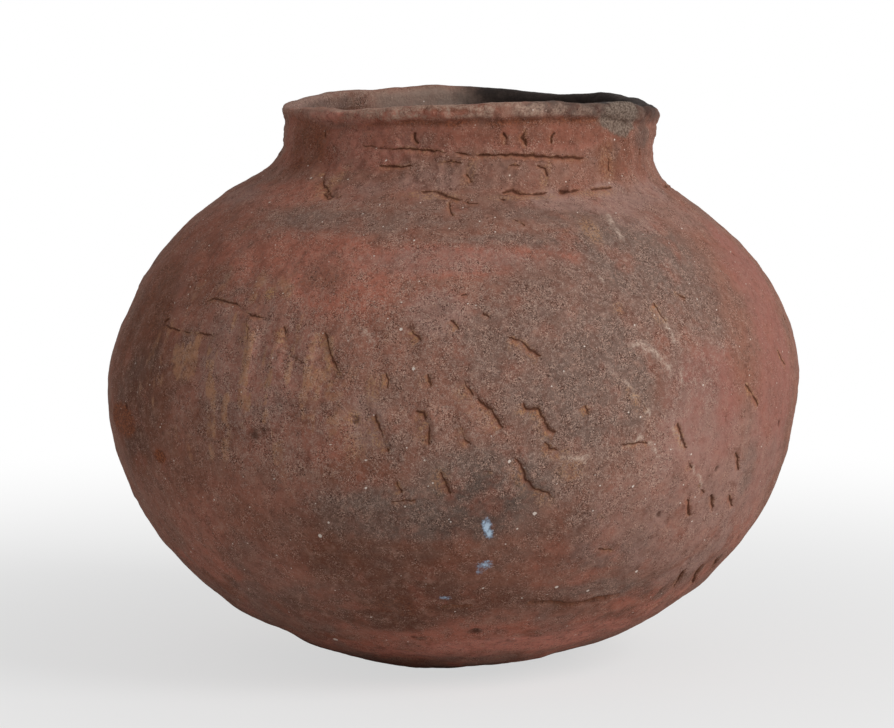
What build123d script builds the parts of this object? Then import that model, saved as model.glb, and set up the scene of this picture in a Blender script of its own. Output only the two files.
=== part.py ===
"""Hand-built earthenware olla, in millimetres, +Z up, standing on the centre of its flat base.

The pot is put together as a potter builds it. A base bowl is pressed in a mould, rings of
clay are laid on its edge one above another, a collar draws the wall in to an off-centre neck,
and a rolled lip finishes the mouth. Each piece of clay is one solid, and each meets the next
along a slanted lap seam that runs right through the wall.
"""

import math
import os
from itertools import pairwise
from typing import NamedTuple

from build123d import *

# Driving dimensions of the body
belly_radius = 150.0  # outside, at the widest ring
belly_depth = 121.5  # outside, from the widest ring down to the pole of the lower ellipse
shoulder_rise = 113.0  # outside, from the widest ring up to the pole of the upper ellipse
base_radius = 36.0  # flat spot that the pot stands on
body_wall = 8.0
base_thickness = 10.0
floor_radius = 26.0  # flat spot in the middle of the floor, inside
base_bowl_radius = 119.0  # outside, at the edge of the moulded base bowl
shoulder_radius = 98.0  # outside, where the collar starts
seam_lap = 6.0  # how far a seam climbs from the outside of the body wall to its inside

# Driving dimensions of the neck and mouth
neck_offset = 7.2  # the neck's axis stands this far from the body's axis, along +X
neck_radius = 80.0  # outside
neck_wall = 8.0
collar_height = 21.5
neck_height = 10.5  # outside, from the collar to the lip
neck_lap = 3.0  # how far the seam under the lip climbs through the neck wall
lip_height = 9.5
lip_overhang = 2.0  # how far the lip stands out from the neck
lip_flare = 2.5  # height over which the underside of the lip comes out
lip_round = 4.2  # rounding of the lip's two top edges
lip_edge_round = 1.0  # rounding of the lip's lower edge
round_share = 0.45  # the most of a face's width that a rounding may take up

# The rings of clay between the base bowl and the collar, from the lowest up
coil_names = (
    "lower_wall_coil",
    "lower_belly_coil",
    "upper_belly_coil",
    "lower_shoulder_coil",
    "upper_shoulder_coil",
)
collar_sections = 5  # circles that the collar is drawn through

# Heights and radii that follow from the driving dimensions
belly_height = belly_depth * math.sqrt(1 - (base_radius / belly_radius) ** 2)
mouth_radius = neck_radius - neck_wall
lip_radius = neck_radius + lip_overhang


class Form(NamedTuple):
    """One face of the body wall: two half ellipses that meet at the widest ring."""

    radius: float
    rise: float
    depth: float

    def point(self, angle):
        """The point at an ellipse angle, in degrees above the widest ring, as (radius, height)."""
        turn = math.radians(angle)
        reach = self.rise if angle > 0 else self.depth
        return (self.radius * math.cos(turn), belly_height + reach * math.sin(turn))

    def angle_at_radius(self, radius):
        """The ellipse angle above the widest ring at which the face has this radius."""
        return math.degrees(math.acos(radius / self.radius))

    def angle_at_height(self, height):
        """The ellipse angle at which the upper half has this height."""
        return math.degrees(math.asin((height - belly_height) / self.rise))

    def draw(self, start, end):
        """Draw the face's line from one ellipse angle to another."""
        stops = [start, 0.0, end] if start * end < 0 else [start, end]
        for first, last in pairwise(stops):
            reach = self.rise if first + last > 0 else self.depth
            EllipticalCenterArc((0, belly_height), self.radius, reach, first, arc_size=last - first)


class Seam(NamedTuple):
    """Where two pieces of the body wall meet: the ellipse angles of its outer and inner edge."""

    outside: float
    inside: float


cavity_radius = belly_radius - body_wall
cavity_depth = (belly_height - base_thickness) / math.sqrt(1 - (floor_radius / cavity_radius) ** 2)
outer = Form(belly_radius, shoulder_rise, belly_depth)
inner = Form(cavity_radius, shoulder_rise - body_wall, cavity_depth)


def body_seams():
    """The seams from the base bowl's edge up to the collar: lapped, apart from the level top one."""
    lowest = -outer.angle_at_radius(base_bowl_radius)
    highest = outer.angle_at_radius(shoulder_radius)
    step = (highest - lowest) / len(coil_names)
    lap = math.degrees(seam_lap / inner.radius)
    lapped = [lowest + step * number for number in range(len(coil_names))]
    top_inside = inner.angle_at_height(outer.point(highest)[1])
    return [Seam(angle, angle + lap) for angle in lapped] + [Seam(highest, top_inside)]


seams = body_seams()
collar_bottom = outer.point(seams[-1].outside)[1]
collar_top = collar_bottom + collar_height
lip_bottom = collar_top + neck_height
overall_height = lip_bottom + lip_height
neck_axis = Axis((neck_offset, 0, 0), (0, 0, 1))
neck_plane = Plane((neck_offset, 0, 0), x_dir=(1, 0, 0), z_dir=(0, -1, 0))

os.makedirs("parts", exist_ok=True)


def save(part, name):
    """Label a finished piece and write it under its own name."""
    part.label = name
    export_step(part, f"parts/{name}.step")


# Base bowl: flat underneath and flat in the middle of its floor
with BuildPart() as base_bowl:
    foot = -outer.angle_at_radius(base_radius)
    floor = -inner.angle_at_radius(floor_radius)
    with BuildSketch(Plane.XZ):
        with BuildLine():
            Line((0, 0), outer.point(foot))
            outer.draw(foot, seams[0].outside)
            Line(outer.point(seams[0].outside), inner.point(seams[0].inside))
            inner.draw(seams[0].inside, floor)
            Polyline(inner.point(floor), (0, base_thickness), (0, 0))
        make_face()
    revolve(axis=Axis.Z)
save(base_bowl.part, "base_bowl")

# Body coils: one ring of wall between each pair of seams
for name, (below, above) in zip(coil_names, pairwise(seams)):
    with BuildPart() as coil:
        with BuildSketch(Plane.XZ):
            with BuildLine():
                outer.draw(below.outside, above.outside)
                Line(outer.point(above.outside), inner.point(above.inside))
                inner.draw(above.inside, below.inside)
                Line(inner.point(below.inside), outer.point(below.outside))
            make_face()
        revolve(axis=Axis.Z)
    save(coil.part, name)


def collar_plane(share):
    """The level plane at a share of the collar's height, sliding over to the neck's axis."""
    slide = neck_offset * share**2 * (3 - 2 * share)
    return Plane((slide, 0, collar_bottom + collar_height * share))


def collar_radius(share, low_radius, high_radius):
    """The radius at a share of the collar's height: it draws in quickly at first."""
    return high_radius + (low_radius - high_radius) * (1 - share) ** 2


# Collar: drawn through circles whose centres move from the body's axis to the neck's
collar_shares = [number / (collar_sections - 1) for number in range(collar_sections)]
with BuildPart() as neck_collar:
    for share in collar_shares:
        with BuildSketch(collar_plane(share)):
            Circle(collar_radius(share, shoulder_radius, neck_radius))
    loft()
    for share in collar_shares:
        with BuildSketch(collar_plane(share)):
            Circle(collar_radius(share, inner.point(seams[-1].inside)[0], mouth_radius))
    loft(mode=Mode.SUBTRACT)
save(neck_collar.part, "neck_collar")

# Neck coil: a straight ring, bevelled on top to carry the lip
with BuildPart() as neck_coil:
    with BuildSketch(neck_plane):
        with BuildLine():
            Polyline(
                (mouth_radius, collar_top),
                (neck_radius, collar_top),
                (neck_radius, lip_bottom),
                (mouth_radius, lip_bottom + neck_lap),
                close=True,
            )
        make_face()
    revolve(axis=neck_axis)
save(neck_coil.part, "neck_coil")

# Rolled lip: stands a little proud of the neck, with a round top
with BuildPart() as rolled_lip:
    with BuildSketch(neck_plane) as lip_section:
        with BuildLine():
            Polyline(
                (mouth_radius, lip_bottom + neck_lap),
                (neck_radius, lip_bottom),
                (lip_radius, lip_bottom + lip_flare),
                (lip_radius, overall_height),
                (mouth_radius, overall_height),
                close=True,
            )
        make_face()
        top_corners = lip_section.vertices().group_by(Axis.Y)[-1]
        fillet(top_corners, min(lip_round, round_share * (lip_radius - mouth_radius)))
        lower_edge = lip_section.vertices().sort_by_distance((lip_radius, lip_bottom + lip_flare))[0]
        fillet(lower_edge, min(lip_edge_round, round_share * lip_flare))
    revolve(axis=neck_axis)
save(rolled_lip.part, "rolled_lip")
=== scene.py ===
"""Looks of the hand-built earthenware olla.

Each piece of clay is one closed mesh. The meshes share one map of the pot's skin: rows follow
the wall from the middle of the foot, up the outside, over the lip and down the inside to the
middle of the floor, and columns go round the pot. Dents, gouges, cracks and stains are drawn
on that map, then each piece takes its own rows. Lengths are millimetres until a mesh is made.
"""

import math
from typing import NamedTuple

import bpy
import numpy as np
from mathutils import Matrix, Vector


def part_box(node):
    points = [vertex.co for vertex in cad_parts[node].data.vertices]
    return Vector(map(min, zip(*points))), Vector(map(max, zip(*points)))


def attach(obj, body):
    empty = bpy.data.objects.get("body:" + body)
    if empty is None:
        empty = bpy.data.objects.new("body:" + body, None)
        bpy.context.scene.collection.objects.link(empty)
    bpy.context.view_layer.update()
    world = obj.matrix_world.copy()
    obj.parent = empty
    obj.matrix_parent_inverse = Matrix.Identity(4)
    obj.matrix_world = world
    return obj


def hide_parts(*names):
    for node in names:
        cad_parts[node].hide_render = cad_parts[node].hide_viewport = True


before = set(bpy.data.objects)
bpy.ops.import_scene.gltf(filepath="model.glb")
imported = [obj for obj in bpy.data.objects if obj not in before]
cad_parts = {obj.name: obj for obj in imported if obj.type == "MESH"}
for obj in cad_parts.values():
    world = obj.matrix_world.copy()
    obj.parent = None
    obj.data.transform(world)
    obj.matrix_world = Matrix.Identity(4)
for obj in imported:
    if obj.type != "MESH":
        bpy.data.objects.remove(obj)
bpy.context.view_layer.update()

METRE = 0.001  # one millimetre, in metres
rng = np.random.default_rng(1907)

# The photograph's camera, fitted to the pot's outline
photo_width, photo_height = 894, 728
focal_pixels = 4145.0
sensor_width = 36.0
eye = np.array([0.0, -1800.0, 323.8])
aim = np.array([-2.34, 0.0, 128.7])

# Sizes of the pot, as in the solids
belly_radius = 150.0
belly_depth = 121.5
shoulder_rise = 113.0
base_radius = 36.0
body_wall = 8.0
floor_radius = 26.0
base_thickness = 10.0
shoulder_radius = 98.0
neck_offset = 7.2
neck_radius = 80.0
mouth_radius = 72.0
lip_radius = 82.0
lip_round = 4.2
lip_edge = 2.6  # rounding of the lip's outer top edge, worn less than the inner one
belly_height = belly_depth * math.sqrt(1 - (base_radius / belly_radius) ** 2)
cavity_radius = belly_radius - body_wall
cavity_depth = (belly_height - base_thickness) / math.sqrt(1 - (floor_radius / cavity_radius) ** 2)

# The pieces of clay, from the foot up
body_pieces = [
    "base_bowl",
    "lower_wall_coil",
    "lower_belly_coil",
    "upper_belly_coil",
    "lower_shoulder_coil",
    "upper_shoulder_coil",
]
all_pieces = body_pieces + ["neck_collar", "neck_coil", "rolled_lip"]

# The map of the skin
columns = 1344  # round the pot; halves evenly down to the few columns at the poles
outer_step = 0.75  # between rows, up the outside of the rings
base_step = 0.9  # the same, up the outside of the base bowl
inner_step = 3.0  # the same, inside the body
mouth_step = 1.2  # the same, inside the neck
lip_step = 0.5  # the same, on the lip and up the outside of the neck
collar_slope = 1.25  # length of the collar's wall, over its height
cleft_reach = 4.0  # how far from a cleft its distance is kept


def seam(below, above):
    """Heights of the outer and the inner edge of the seam between two pieces."""
    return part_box(above)[0].z / METRE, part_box(below)[1].z / METRE


body_seams = [seam(below, above) for below, above in zip(body_pieces, body_pieces[1:])]
collar_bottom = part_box("neck_collar")[0].z / METRE
collar_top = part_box("neck_collar")[1].z / METRE
lip_bottom, lip_bottom_inside = seam("neck_coil", "rolled_lip")
rim_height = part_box("rolled_lip")[1].z / METRE


class Form(NamedTuple):
    """One face of the body wall: two half ellipses that meet at the widest ring."""

    radius: float
    rise: float
    depth: float

    def angle(self, height):
        """The ellipse angle, in radians above the widest ring, at a height."""
        reach = self.rise if height > belly_height else self.depth
        return math.asin((height - belly_height) / reach)

    def rows(self, start, end, step):
        """Rows of (radius, height, slide) from one height to another."""
        first, last = self.angle(start), self.angle(end)
        count = max(2, round(abs(last - first) * (self.radius + self.depth) / 2 / step))
        turns = np.linspace(first, last, count + 1)
        reach = np.where(turns > 0, self.rise, self.depth)
        heights = belly_height + reach * np.sin(turns)
        return np.stack([self.radius * np.cos(turns), heights, 0 * turns], 1)


outer = Form(belly_radius, shoulder_rise, belly_depth)
inner = Form(cavity_radius, shoulder_rise - body_wall, cavity_depth)
collar_inside = cavity_radius * math.cos(inner.angle(collar_bottom))


def straight(start, end, step, slide=0.0):
    """Rows along a straight line between two (radius, height) points."""
    count = max(1, round(math.dist(start, end) / step))
    line = np.linspace(start, end, count + 1)
    return np.column_stack([line, np.full(count + 1, slide)])


def upright(reach, start, end, step):
    """Rows straight up or down the neck, from one height to another."""
    return straight((reach, start), (reach, end), step, neck_offset)


def collar_rows(low_radius, high_radius, step):
    """Rows up the collar, which draws in and slides over to the neck's axis."""
    count = round((collar_top - collar_bottom) * collar_slope / step)
    share = np.linspace(0, 1, count + 1)
    radius = high_radius + (low_radius - high_radius) * (1 - share) ** 2
    height = collar_bottom + (collar_top - collar_bottom) * share
    return np.column_stack([radius, height, neck_offset * share**2 * (3 - 2 * share)])


def quarter(centre, radius, start, step):
    """Rows along a quarter circle, anticlockwise from a start angle in degrees."""
    count = round(radius * math.pi / 2 / step)
    turn = np.radians(np.linspace(start, start + 90, count + 1))
    around = np.column_stack([np.cos(turn), np.sin(turn)]) * radius + centre
    return np.column_stack([around, np.full(count + 1, neck_offset)])


def flare(start, end, step):
    """Rows along an S-shaped line between two (radius, height) points."""
    count = round(math.dist(start, end) / step)
    share = np.linspace(0, 1, count + 1)
    bend = share * share * (3 - 2 * share)
    reach = start[0] + (end[0] - start[0]) * bend
    climb = start[1] + (end[1] - start[1]) * share
    return np.column_stack([reach, climb, np.full(count + 1, neck_offset)])


def joined(*runs):
    """Runs of rows, end to end, with each shared row once."""
    return np.concatenate([runs[0], *(run[1:] for run in runs[1:])])


class Skin:
    """The rows of the whole skin and the rows that each piece takes."""

    def __init__(self):
        self.runs = []
        self.spans = {name: [] for name in all_pieces}
        self.count = 0

    def lay(self, name, rows):
        """Add a piece's rows after the last ones, which it shares a row with."""
        first = max(self.count - 1, 0)
        fresh = rows if self.count == 0 else rows[1:]
        self.runs.append(fresh)
        self.count += len(fresh)
        self.spans[name].append((first, self.count - 1))


skin = Skin()
outer_edges = [0.0] + [outside for outside, _ in body_seams] + [collar_bottom]
inner_edges = [base_thickness] + [inside for _, inside in body_seams] + [collar_bottom]
for name, start, end in zip(body_pieces, outer_edges, outer_edges[1:]):
    if name == "base_bowl":
        foot = straight((0, 0), (base_radius, 0), base_step)
        skin.lay(name, joined(foot, outer.rows(start, end, base_step)))
    else:
        skin.lay(name, outer.rows(start, end, outer_step))
skin.lay("neck_collar", collar_rows(shoulder_radius, neck_radius, outer_step))
skin.lay("neck_coil", upright(neck_radius, collar_top, lip_bottom, lip_step))
lip_out = (lip_radius - lip_edge, rim_height - lip_edge)
lip_in = (mouth_radius + lip_round, rim_height - lip_round)
skin.lay(
    "rolled_lip",
    joined(
        flare((neck_radius, lip_bottom), (lip_radius, lip_out[1]), lip_step),
        quarter(lip_out, lip_edge, 0, lip_step),
        straight((lip_out[0], rim_height), (lip_in[0], rim_height), lip_step, neck_offset),
        quarter(lip_in, lip_round, 90, lip_step),
        upright(mouth_radius, lip_in[1], lip_bottom_inside, mouth_step),
    ),
)
crest_row = skin.count - 1
skin.lay("neck_coil", upright(mouth_radius, lip_bottom_inside, collar_top, mouth_step))
skin.lay("neck_collar", collar_rows(collar_inside, mouth_radius, mouth_step)[::-1])
for name, end, start in reversed(list(zip(body_pieces, inner_edges, inner_edges[1:]))):
    rows = inner.rows(start, end, inner_step)
    if name == "base_bowl":
        rows = joined(rows, straight((floor_radius, base_thickness), (0, base_thickness), inner_step))
    skin.lay(name, rows)

radius, height, slide = np.concatenate(skin.runs).T
azimuth = np.arange(columns) * (2 * math.pi / columns)
along = np.stack([np.gradient(radius), np.gradient(height)], 1)
along /= np.linalg.norm(along, axis=1)[:, None]
normal_out, normal_up = along[:, 1], -along[:, 0]
arc = np.concatenate([[0.0], np.cumsum(np.hypot(np.diff(radius), np.diff(height)))])
is_outside = np.arange(len(radius)) <= crest_row
on_outside = is_outside[:, None]


def place(rise, lift=0.0):
    """Points of the skin, raised along the wall's normal by a map of heights."""
    reach = radius[:, None] + rise * normal_out[:, None]
    x = slide[:, None] + reach * np.cos(azimuth)
    y = reach * np.sin(azimuth)
    z = height[:, None] + rise * normal_up[:, None] + lift
    return np.stack([x, y, z], -1)


bare = place(np.zeros((len(radius), columns)))


class Noise:
    """Smooth random values in space, the same on every run."""

    lattice = 32

    def __init__(self):
        self.values = rng.random((self.lattice,) * 3).astype(np.float32) * 2 - 1

    def __call__(self, points, cell):
        """Values from -1 to 1 that change over about one cell."""
        place_in = points / cell
        corner = np.floor(place_in).astype(np.int32)
        part = (place_in - corner).astype(np.float32)
        part = part * part * (3 - 2 * part)
        total = 0.0
        for dx in (0, 1):
            for dy in (0, 1):
                for dz in (0, 1):
                    at = (corner + (dx, dy, dz)) % self.lattice
                    weight = 1.0
                    for axis, far in enumerate((dx, dy, dz)):
                        weight = weight * (part[..., axis] if far else 1 - part[..., axis])
                    total = total + weight * self.values[at[..., 0], at[..., 1], at[..., 2]]
        return total


def smooth(share):
    """An S-curve from 0 to 1."""
    share = np.clip(share, 0, 1)
    return share * share * (3 - 2 * share)


def wrapped(angle):
    """An angle brought between minus and plus half a turn."""
    return (angle + math.pi) % (2 * math.pi) - math.pi


class Spot(NamedTuple):
    """A place on the skin: the distance along the wall and the azimuth."""

    arc: float
    azimuth: float


class Photo:
    """Finds the place on the outside of the pot that a photo pixel shows."""

    def __init__(self):
        forward = (aim - eye) / np.linalg.norm(aim - eye)
        right = np.cross(forward, (0, 0, 1))
        right /= np.linalg.norm(right)
        up = np.cross(right, forward)
        ray = bare - eye
        depth = ray @ forward
        self.x = photo_width / 2 + focal_pixels * (ray @ right) / depth
        self.y = photo_height / 2 - focal_pixels * (ray @ up) / depth
        facing = ray[..., 0] * np.cos(azimuth) + ray[..., 1] * np.sin(azimuth)
        away = facing * normal_out[:, None] + ray[..., 2] * normal_up[:, None]
        self.hidden = (away > 0) | ~on_outside

    def spot(self, pixel):
        """The place on the skin nearest to a pixel, on the side that the camera sees."""
        gap = (self.x - pixel[0]) ** 2 + (self.y - pixel[1]) ** 2
        row, column = np.unravel_index(np.argmin(np.where(self.hidden, np.inf, gap)), gap.shape)
        return Spot(arc[row], azimuth[column])


photo = Photo()
noise = Noise()
rise = np.zeros(bare.shape[:2])
mask_names = (
    "dust dark soot cloud flush brown pale tan bloom crust "
    "chalk paint rust wear cleft scrape slip gloom foot smoke"
)
masks = {name: np.zeros(bare.shape[:2]) for name in mask_names.split()}
masks["gap"] = np.full(bare.shape[:2], cleft_reach)


def texture(cell, shift=0.0):
    """Noise over the whole skin that changes over about one cell; each shift is another pattern."""
    return noise(bare + shift, cell)


warp_along = texture(2.6) + 0.45 * texture(1.2, 610.0)
warp_up = texture(2.6, 500.0) + 0.45 * texture(1.2, 560.0)
broken = texture(4.5, 900.0)
crumbly = texture(1.5, 700.0)
broad = texture(16.0, 300.0)


class Window(NamedTuple):
    """A patch of the map around a spot, with distances to the right and up the wall."""

    at: tuple
    right: np.ndarray
    up: np.ndarray

    def oval(self, reach_right, reach_up):
        """A soft oval about the spot."""
        return np.exp(-((self.right / reach_right) ** 2) - (self.up / reach_up) ** 2)


def window(spot, reach, wobble=0.0):
    """The patch of the map within reach of a spot."""
    rows = np.nonzero((np.abs(arc - spot.arc) <= reach) & (is_outside == (spot.arc <= arc[crest_row])))[0]
    turn = min(math.pi, reach / max(np.interp(spot.arc, arc, radius), 1.0))
    near = np.nonzero(np.abs(wrapped(azimuth - spot.azimuth)) <= turn)[0]
    at = np.ix_(rows, near)
    right = radius[rows][:, None] * wrapped(azimuth[near] - spot.azimuth)
    up = np.broadcast_to((arc[rows] - spot.arc)[:, None], right.shape)
    return Window(at, right + wobble * warp_along[at], up + wobble * warp_up[at])


def path_distance(right, up, path):
    """Signed distance from a path, positive on its left-hand side, and the share along it."""
    lengths = [math.dist(a, b) for a, b in zip(path, path[1:])]
    whole = sum(lengths)
    best = np.full(right.shape, np.inf)
    side = np.ones(right.shape)
    share = np.zeros(right.shape)
    done = 0.0
    for (x0, y0), (x1, y1), length in zip(path, path[1:], lengths):
        dx, dy = (x1 - x0) / length, (y1 - y0) / length
        onward = np.clip((right - x0) * dx + (up - y0) * dy, 0, length)
        off_x, off_y = right - x0 - onward * dx, up - y0 - onward * dy
        gap = np.hypot(off_x, off_y)
        closer = gap < best
        best = np.where(closer, gap, best)
        side = np.where(closer, np.sign(dx * (up - y0) - dy * (right - x0)), side)
        share = np.where(closer, (done + onward) / whole, share)
        done += length
    return best * np.where(side < 0, -1, 1), share


def tapered(share, part):
    """A strength along a path that fades in and out over a part of its length."""
    return smooth(share / part) * smooth((1 - share) / part)


def mark(mask, amounts, at=...):
    """Raise a mask to at least these amounts, on a patch of the map or all over."""
    masks[mask][at] = np.maximum(masks[mask][at], amounts)


class Stroke(NamedTuple):
    """A long mark: its middle on the skin, its path from there, and its size."""

    middle: Spot
    path: list
    width: float
    depth: float
    dust: float
    wobble: float

    def survey(self, margin):
        """The map near the stroke: its patch, the distance from the path and the share along it."""
        reach = max(math.hypot(*point) for point in self.path) + margin
        patch = window(self.middle, reach, self.wobble)
        return patch.at, *path_distance(patch.right, patch.up, self.path)


def from_pixels(pixels, width, depth, dust, wobble):
    """A stroke along a line of photo pixels."""
    spots = [photo.spot(pixel) for pixel in pixels]
    middle = spots[len(spots) // 2]
    across = np.interp(middle.arc, arc, radius)
    path = [(across * wrapped(spot.azimuth - middle.azimuth), spot.arc - middle.arc) for spot in spots]
    return Stroke(middle, path, width, depth, dust, wobble)


def cut(stroke):
    """Press a gouge into the clay: a gentle ramp up to a steep wall, with painted shade along its line."""
    brow_height = 0.3  # of the clay pushed up behind the wall, over the gouge's depth
    crumb_height = 0.22
    at, gap, share = stroke.survey(2.5 * stroke.width + 3)
    steep = min(2.2, max(0.8, 0.25 * stroke.width))
    taper = tapered(share, 0.13) * (0.9 + 0.35 * broken[at])
    ramp = smooth(1 + gap / stroke.width)
    wall = smooth(1 - gap / steep)
    shape = np.where(gap < 0, ramp**1.2, wall)
    brow = np.where(gap > 0, np.exp(-(((gap - 1.6 * steep) / (0.5 * stroke.width)) ** 2)), 0)
    crumbs = np.exp(-((gap / stroke.width) ** 2)) * taper * crumbly[at]
    rise[at] += taper * stroke.depth * (brow_height * brow - shape) + crumb_height * crumbs
    # The cleft and gap masks place painted shade along the cut's line and the warm floor on its ramp side
    nearer = np.abs(gap) < np.abs(masks["gap"][at])
    fade = smooth(1.3 - np.abs(gap) / cleft_reach)
    strength = fade * tapered(share, 0.1) * min(1.8, 0.3 + 0.6 * stroke.depth)
    strength = strength * smooth(0.6 + 0.25 * stroke.depth + 0.75 * broken[at])
    masks["cleft"][at] = np.where(nearer, strength, masks["cleft"][at])
    masks["gap"][at] = np.where(nearer, np.clip(gap, -cleft_reach, cleft_reach), masks["gap"][at])
    fill = np.where(gap < 0, smooth(1 + gap / (1.1 * stroke.width)) ** 1.5, smooth(1 - gap / 1.4))
    mark("dust", fill * stroke.dust * taper * smooth(0.55 + 0.9 * crumbly[at]), at)


def press(stroke):
    """Draw a finger along the clay: a soft trough between low banks."""
    bank_height = 0.4  # over the trough's depth
    at, gap, share = stroke.survey(3 * stroke.width)
    away = np.abs(gap) / stroke.width
    trough = np.exp(-(away**2)) - bank_height * np.exp(-(((away - 1.7) / 0.8) ** 2))
    rise[at] -= stroke.depth * tapered(share, 0.3) * trough


def scuff(stroke):
    """Leave a pale, broken scrape along a path."""
    scrape_height = 0.12
    at, gap, share = stroke.survey(2.5 * stroke.width + 3)
    line = np.exp(-((gap / stroke.width) ** 2)) * tapered(share, 0.2)
    line = line * smooth(0.75 + 0.7 * crumbly[at] + 0.3 * broken[at])
    mark("scrape", line, at)
    rise[at] += scrape_height * line


def pit(spot, size, depth):
    """Press a round pit into the clay, with painted shade in it."""
    patch = window(spot, 3 * size, wobble=0.5)
    shape = np.exp(-((np.hypot(patch.right, patch.up) / size) ** 3))
    rise[patch.at] -= depth * shape
    # Painted shade in the pit
    mark("dark", 0.75 * shape * smooth(0.8 + 0.7 * crumbly[patch.at]), patch.at)


def bulge(spot, reach_right, reach_up, amount):
    """Push the wall out, or in, over a wide oval."""
    patch = window(spot, 2.6 * max(reach_right, reach_up))
    rise[patch.at] += amount * patch.oval(reach_right, reach_up)


def stain(mask, spot, reach_right, reach_up, strength, ragged=0.5):
    """Colour an oval on the clay, with a ragged edge."""
    patch = window(spot, 2.2 * max(reach_right, reach_up))
    oval = patch.oval(reach_right, reach_up)
    edge = smooth(oval * 1.5 + ragged * broad[patch.at] * oval * (1.4 - oval))
    mark(mask, strength * edge, patch.at)


def fleck(mask, spot, reach_right, reach_up, strength=1.0):
    """Mark a small spot by its distance: at full strength the mask is one half at the spot's edge."""
    patch = window(spot, 3 * max(reach_right, reach_up) + 1)
    cone = np.clip(1 - np.hypot(patch.right / reach_right, patch.up / reach_up) / 2, 0, 1)
    mark(mask, strength * cone, patch.at)


def streaks(mask, spot, reach, lean, cell, strength, relief):
    """Long, thin marks side by side within an oval, leaning from upright by an angle in degrees."""
    stretch = 4.4  # length of a mark, over its width
    patch = window(spot, 2.2 * max(reach))
    turn = math.radians(lean)
    across = patch.right * math.cos(turn) - patch.up * math.sin(turn)
    onward = patch.right * math.sin(turn) + patch.up * math.cos(turn)
    oval = patch.oval(*reach)
    stretched = np.stack([across, onward / stretch, 0 * across], -1)
    line = noise(stretched + 33.0, cell) + 0.5 * noise(stretched + 77.0, cell / 2.3)
    rise[patch.at] += relief * oval * line
    worn = smooth(0.62 + 0.6 * broken[patch.at] + 0.4 * crumbly[patch.at])
    mark(mask, strength * oval * smooth((line + 0.05) / 0.6) * worn, patch.at)


def on_body(level, degrees):
    """A spot on the outside of the body at a height and an azimuth."""
    row = np.argmin(np.abs(height[:crest_row] - level))
    return Spot(arc[row], math.radians(degrees))


# Hand-built unevenness of the whole form: cell, pattern, height outside and height inside
unevenness = [
    (70.0, 0.0, 0.9, 0.6),
    (24.0, 40.0, 0.7, 0.35),
    (9.0, 80.0, 0.42, 0.12),
    (3.6, 120.0, 0.13, 0.06),
    (1.7, 160.0, 0.06, 0.0),
]
for cell, shift, height_outside, height_inside in unevenness:
    rise += np.where(on_outside, height_outside, height_inside) * texture(cell, shift)

# Where the wall stands out or in: height, azimuth in degrees, reach to the right, reach up, amount
bulges = [
    (154, 0, 70, 34, 2.3),
    (156, 180, 60, 24, -1.7),
    (104, 180, 60, 20, 0.3),
    (204, 180, 34, 9, 1.0),
    (191, 180, 34, 8, 0.9),
    (222, 0, 34, 9, -1.4),
    (224, 180, 34, 10, 1.0),
    (234, 0, 30, 6, 1.2),
    (16, 195, 30, 14, -1.8),
    (1, 320, 26, 22, -2.0),
]
for level, turn, reach_right, reach_up, amount in bulges:
    bulge(on_body(level, turn), reach_right, reach_up, amount)

# Rows of finger presses where each ring of clay was smeared down onto the one below
press_pitch = 21.0
press_reach = (8, 12)  # of one press, to the right and up
seam_levels = [level for level, _ in body_seams]
for level in seam_levels:
    ring = outer.radius * math.cos(outer.angle(level))
    count = round(2 * math.pi * ring / press_pitch)
    for number in range(count):
        turn = 360 * (number + rng.uniform(-0.3, 0.3)) / count
        bulge(on_body(level + rng.uniform(-5, 9), turn), *press_reach, rng.uniform(-0.8, -0.1))

# Soft troughs that fingers drew down the wall: photo pixels, width, depth
troughs = [
    ([(181, 298), (176, 345), (178, 405)], 4.0, 0.7),
    ([(207, 306), (201, 350), (198, 402)], 4.0, 0.5),
    ([(240, 300), (236, 345), (232, 388)], 4.0, 0.6),
    ([(266, 312), (262, 355), (256, 398)], 4.5, 0.6),
    ([(289, 320), (291, 358), (297, 394)], 4.5, 0.6),
    ([(313, 322), (317, 352), (323, 394)], 4.5, 0.6),
    ([(360, 308), (371, 340), (380, 388)], 5.0, 0.8),
    ([(398, 330), (408, 352), (414, 384)], 5.0, 0.7),
    ([(352, 396), (362, 425), (372, 462)], 5.0, 0.4),
    ([(400, 395), (408, 425), (414, 455)], 5.0, 0.7),
    ([(440, 395), (449, 420), (456, 450)], 5.0, 0.6),
    ([(219, 226), (207, 262), (200, 290)], 5.0, 0.9),
    ([(262, 232), (254, 262), (248, 288)], 5.0, 0.7),
    ([(480, 330), (492, 352), (500, 372)], 5.0, 0.6),
    ([(560, 330), (575, 356), (590, 384)], 5.0, 0.6),
    ([(600, 300), (612, 326), (622, 350)], 5.0, 0.6),
    ([(640, 380), (652, 404), (660, 430)], 5.0, 0.6),
    ([(443, 157), (445, 171), (449, 186)], 1.5, 0.7),
    ([(462, 161), (466, 172), (474, 188)], 1.5, 0.6),
    ([(511, 166), (513, 178), (514, 190)], 1.5, 0.6),
    ([(547, 172), (544, 180), (546, 192)], 1.5, 0.7),
    ([(590, 166), (588, 178), (592, 188)], 1.5, 0.5),
    ([(414, 160), (410, 176), (418, 190)], 1.6, 0.5),
    ([(330, 150), (327, 165), (326, 182)], 3.0, 0.8),
    ([(300, 130), (302, 150), (296, 172)], 3.5, 0.6),
]

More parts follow.
